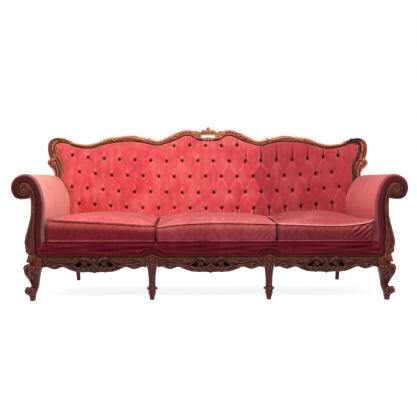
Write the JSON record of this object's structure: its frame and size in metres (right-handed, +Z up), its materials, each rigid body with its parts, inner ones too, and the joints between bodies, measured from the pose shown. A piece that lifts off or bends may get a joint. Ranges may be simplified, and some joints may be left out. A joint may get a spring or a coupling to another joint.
{
  "type": "carved show-wood sofa",
  "caption": "Upholstered sofa with a carved show-wood frame, wavy crest, deep-buttoned back, scroll arms, loose seat cushions and cabriole legs.",
  "frame": {"origin": "middle of the footprint, on the floor", "axes": "+X to the right as seen from the front, +Y from the front of the seat to the back, +Z up"},
  "size_m": [2.2416, 0.852, 1.0211],
  "materials": {
    "velvet": "matte",
    "show_wood": "satin",
    "frame_wood": "matte",
    "braid": "matte",
    "jute": "matte",
    "cambric": "matte",
    "foam": "matte"
  },
  "bodies": {
    "frame": {"front_border": "velvet", "seat_deck_pad": "velvet", "back_pad": "velvet", "outside_back": "velvet", "rear_border": "velvet", "arm_pad_left": "velvet", "arm_pad_right": "velvet", "outside_arm_left": "velvet", "outside_arm_right": "velvet", "crest_cartouche": "show_wood", "apron_middle": "show_wood", "arm_facing_left": "show_wood", "arm_facing_right": "show_wood", "apron_side_left": "show_wood", "apron_side_right": "show_wood", "side_rail_apron_left": "show_wood", "side_rail_apron_right": "show_wood", "front_leg_left": "show_wood", "front_leg_right": "show_wood", "middle_leg_left": "show_wood", "middle_leg_right": "show_wood", "rear_leg_left": "show_wood", "rear_leg_right": "show_wood", "crest_rail_left": "show_wood", "crest_rail_right": "show_wood", "stile_left": "show_wood", "stile_right": "show_wood", "front_seat_rail": "frame_wood", "rear_seat_rail": "frame_wood", "back_bottom_rail": "frame_wood", "back_top_rail": "frame_wood", "side_seat_rail_left": "frame_wood", "side_seat_rail_right": "frame_wood", "cross_rail_left": "frame_wood", "cross_rail_right": "frame_wood", "front_corner_block_left": "frame_wood", "front_corner_block_right": "frame_wood", "rear_corner_block_left": "frame_wood", "rear_corner_block_right": "frame_wood", "arm_top_rail_left": "frame_wood", "arm_top_rail_right": "frame_wood", "arm_tack_rail_left": "frame_wood", "arm_tack_rail_right": "frame_wood", "back_post_left": "frame_wood", "back_post_right": "frame_wood", "back_mullion_left": "frame_wood", "back_mullion_right": "frame_wood", "arm_gimp_left": "braid", "arm_gimp_right": "braid", "front_gimp": "braid", "back_gimp": "braid", "seat_webbing": "jute", "back_webbing": "jute", "dust_cover": "cambric"},
    "cushion_left": {"cushion_cover_left": "velvet", "cushion_core_left": "foam"},
    "cushion_middle": {"cushion_cover_middle": "velvet", "cushion_core_middle": "foam"},
    "cushion_right": {"cushion_cover_right": "velvet", "cushion_core_right": "foam"}
  },
  "joints": [
    {"name": "cushion_left_lift", "type": "slide", "parent": "frame", "child": "cushion_left", "axis": [0, 0, 1], "range_m": [0, 0.45]},
    {"name": "cushion_middle_lift", "type": "slide", "parent": "frame", "child": "cushion_middle", "axis": [0, 0, 1], "range_m": [0, 0.45]},
    {"name": "cushion_right_lift", "type": "slide", "parent": "frame", "child": "cushion_right", "axis": [0, 0, 1], "range_m": [0, 0.45]}
  ]
}
